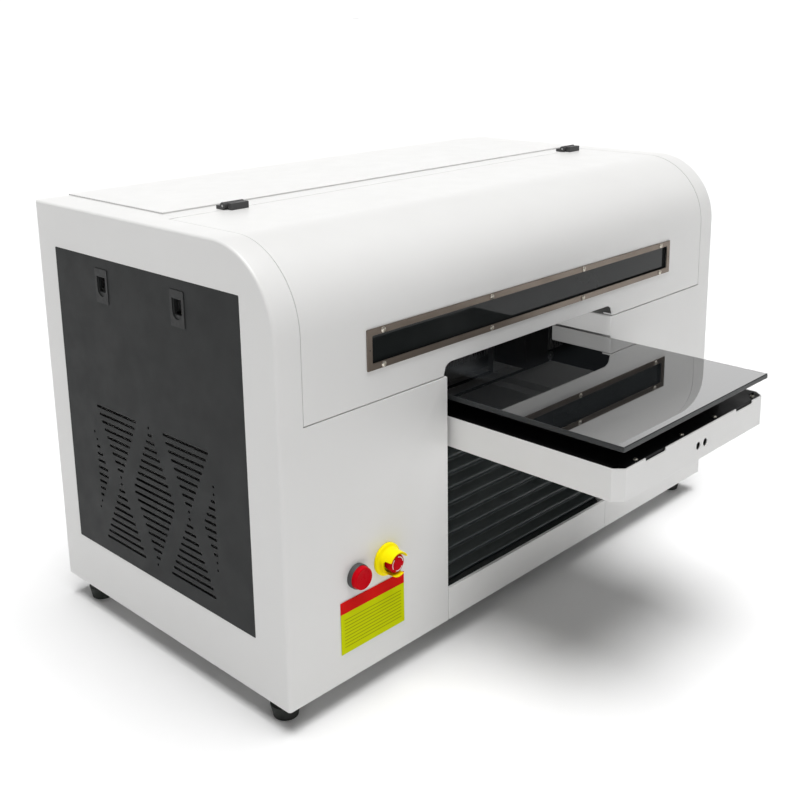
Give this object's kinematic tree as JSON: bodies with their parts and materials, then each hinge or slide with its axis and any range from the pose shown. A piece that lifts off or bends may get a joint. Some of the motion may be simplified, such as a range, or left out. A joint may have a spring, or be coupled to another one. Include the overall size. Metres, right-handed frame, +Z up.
{
  "type": "flatbed UV printer",
  "caption": "Desktop flatbed UV printer: white sheet-metal casing with hinged hood and window, a sliding, height-adjustable glass bed, and a belt-driven print carriage inside.",
  "frame": {"origin": "middle of the footprint at floor level, with the bed run out in front as it is for loading", "axes": "+Z up, the front with the bed opening faces -Y, the operator's left is -X"},
  "size_m": [0.87, 0.7034, 0.552],
  "materials": {
    "white_paint": "white satin powder coat on folded sheet",
    "charcoal_paint": "charcoal fine-texture powder coat",
    "bronze": "bronze anodised flat frame",
    "tinted_acrylic": "dark tinted acrylic sheet",
    "black_glass": "opaque black polished glass",
    "aluminium": "bare machined aluminium",
    "black_aluminium": "black anodised aluminium",
    "steel": "ground steel",
    "black_plastic": "black moulded plastic",
    "grey_plastic": "dark grey moulded plastic",
    "rubber": "black rubber",
    "cloth": "black coated pleated cloth",
    "red_plastic": "red translucent and gloss plastic",
    "yellow_plastic": "yellow plastic"
  },
  "bodies": {
    "casing": {"base_plate": "white_paint", "foot_front_left": "rubber", "foot_front_right": "rubber", "foot_rear_left": "rubber", "foot_rear_right": "rubber", "left_side_casing": "white_paint", "right_side_casing": "white_paint", "front_sill": "white_paint", "top_crossbar": "white_paint", "rear_cover": "white_paint", "back_panel": "white_paint", "left_service_panel": "charcoal_paint", "right_service_panel": "charcoal_paint", "hinge_base_left": "black_plastic", "hinge_base_right": "black_plastic", "button_bezel": "grey_plastic", "estop_collar": "yellow_plastic", "label_plate": "yellow_plastic", "power_inlet": "black_plastic", "bellows": "cloth", "lift_motor_left": "black_plastic", "lift_motor_right": "black_plastic", "guide_rod_left": "steel", "guide_rod_right": "steel", "x_beam": "aluminium", "x_rail": "steel", "x_belt": "rubber", "x_motor": "black_plastic", "capping_station": "grey_plastic", "ink_tanks": "grey_plastic", "power_supply": "steel"},
    "hood_assembly": {"hood": "white_paint", "window_frame": "bronze", "window_pane": "tinted_acrylic", "hinge_leaf_left": "black_plastic", "hinge_leaf_right": "black_plastic"},
    "start_button": {"button_cap": "red_plastic"},
    "stop_button": {"estop_head": "red_plastic"},
    "latch_left_front": {"left_latch_front": "black_plastic"},
    "latch_left_rear": {"left_latch_rear": "black_plastic"},
    "latch_right_front": {"right_latch_front": "black_plastic"},
    "latch_right_rear": {"right_latch_rear": "black_plastic"},
    "mains_rocker": {"power_rocker": "black_plastic"},
    "lift": {"lift_table": "aluminium", "y_rail_left": "steel", "y_rail_right": "steel", "y_motor": "black_plastic"},
    "bed": {"tray": "white_paint", "deck_plate": "black_aluminium", "bed_frame": "black_aluminium", "glass_platen": "black_glass", "bed_saddle": "aluminium"},
    "bed_screw": {"y_screw": "steel"},
    "screw_left": {"lift_screw_left": "steel"},
    "screw_right": {"lift_screw_right": "steel"},
    "print_carriage": {"carriage": "aluminium", "print_head": "black_plastic", "uv_lamp": "steel"},
    "belt_drive_pulley": {"drive_pulley": "aluminium"},
    "belt_idler_pulley": {"idler_pulley": "aluminium"}
  },
  "joints": [
    {"name": "hood_hinge", "type": "hinge", "parent": "casing", "child": "hood_assembly", "pos_m": [0, 0.10525, 0.5478], "axis": [-1, 0, 0], "range_deg": [0, 112]},
    {"name": "start_button_push", "type": "slide", "parent": "casing", "child": "start_button", "axis": [0, 1, 0], "range_m": [0, 0.0025], "stiffness_N_per_m": 600},
    {"name": "stop_button_push", "type": "slide", "parent": "casing", "child": "stop_button", "axis": [0, 1, 0], "range_m": [0, 0.004]},
    {"name": "latch_left_front_slide", "type": "slide", "parent": "casing", "child": "latch_left_front", "axis": [0, 0, -1], "range_m": [0, 0.006], "stiffness_N_per_m": 300},
    {"name": "latch_left_rear_slide", "type": "slide", "parent": "casing", "child": "latch_left_rear", "axis": [0, 0, -1], "range_m": [0, 0.006], "stiffness_N_per_m": 300},
    {"name": "latch_right_front_slide", "type": "slide", "parent": "casing", "child": "latch_right_front", "axis": [0, 0, -1], "range_m": [0, 0.006], "stiffness_N_per_m": 300},
    {"name": "latch_right_rear_slide", "type": "slide", "parent": "casing", "child": "latch_right_rear", "axis": [0, 0, -1], "range_m": [0, 0.006], "stiffness_N_per_m": 300},
    {"name": "mains_rocker_tilt", "type": "hinge", "parent": "casing", "child": "mains_rocker", "pos_m": [-0.33, 0.34625, 0.118], "axis": [1, 0, 0], "range_deg": [0, 9]},
    {"name": "bed_lift", "type": "slide", "parent": "casing", "child": "lift", "axis": [0, 0, 1], "range_m": [-0.07, 0], "deforming": ["bellows"]},
    {"name": "bed_slide", "type": "slide", "parent": "lift", "child": "bed", "axis": [0, 1, 0], "range_m": [-0.02, 0.225]},
    {"name": "bed_screw_turn", "type": "hinge", "parent": "lift", "child": "bed_screw", "pos_m": [-0.0065, 0, 0.2395], "axis": [0, 1, 0], "range_deg": [-730, 8110]},
    {"name": "lift_screw_left_turn", "type": "hinge", "parent": "casing", "child": "screw_left", "pos_m": [-0.2065, 0.18525, 0.1], "axis": [0, 0, 1], "range_deg": [-3159, 10]},
    {"name": "lift_screw_right_turn", "type": "hinge", "parent": "casing", "child": "screw_right", "pos_m": [0.1935, 0.18525, 0.1], "axis": [0, 0, 1], "range_deg": [-3159, 10]},
    {"name": "carriage_slide", "type": "slide", "parent": "casing", "child": "print_carriage", "axis": [1, 0, 0], "range_m": [-0.56, 0.02]},
    {"name": "drive_pulley_turn", "type": "hinge", "parent": "casing", "child": "belt_drive_pulley", "pos_m": [-0.372, 0.14325, 0.456], "axis": [0, 1, 0], "range_deg": [-137, 3575]},
    {"name": "idler_pulley_turn", "type": "hinge", "parent": "casing", "child": "belt_idler_pulley", "pos_m": [0.372, 0.14325, 0.456], "axis": [0, 1, 0], "range_deg": [-137, 3575]}
  ],
  "couplings": [
    {"joint": "bed_screw_turn", "follows": "bed_slide", "rad_per_m": 628.32},
    {"joint": "lift_screw_left_turn", "follows": "bed_lift", "rad_per_m": 785.4},
    {"joint": "lift_screw_right_turn", "follows": "bed_lift", "rad_per_m": 785.4},
    {"joint": "drive_pulley_turn", "follows": "carriage_slide", "rad_per_m": -111.11},
    {"joint": "idler_pulley_turn", "follows": "carriage_slide", "rad_per_m": -111.11}
  ]
}
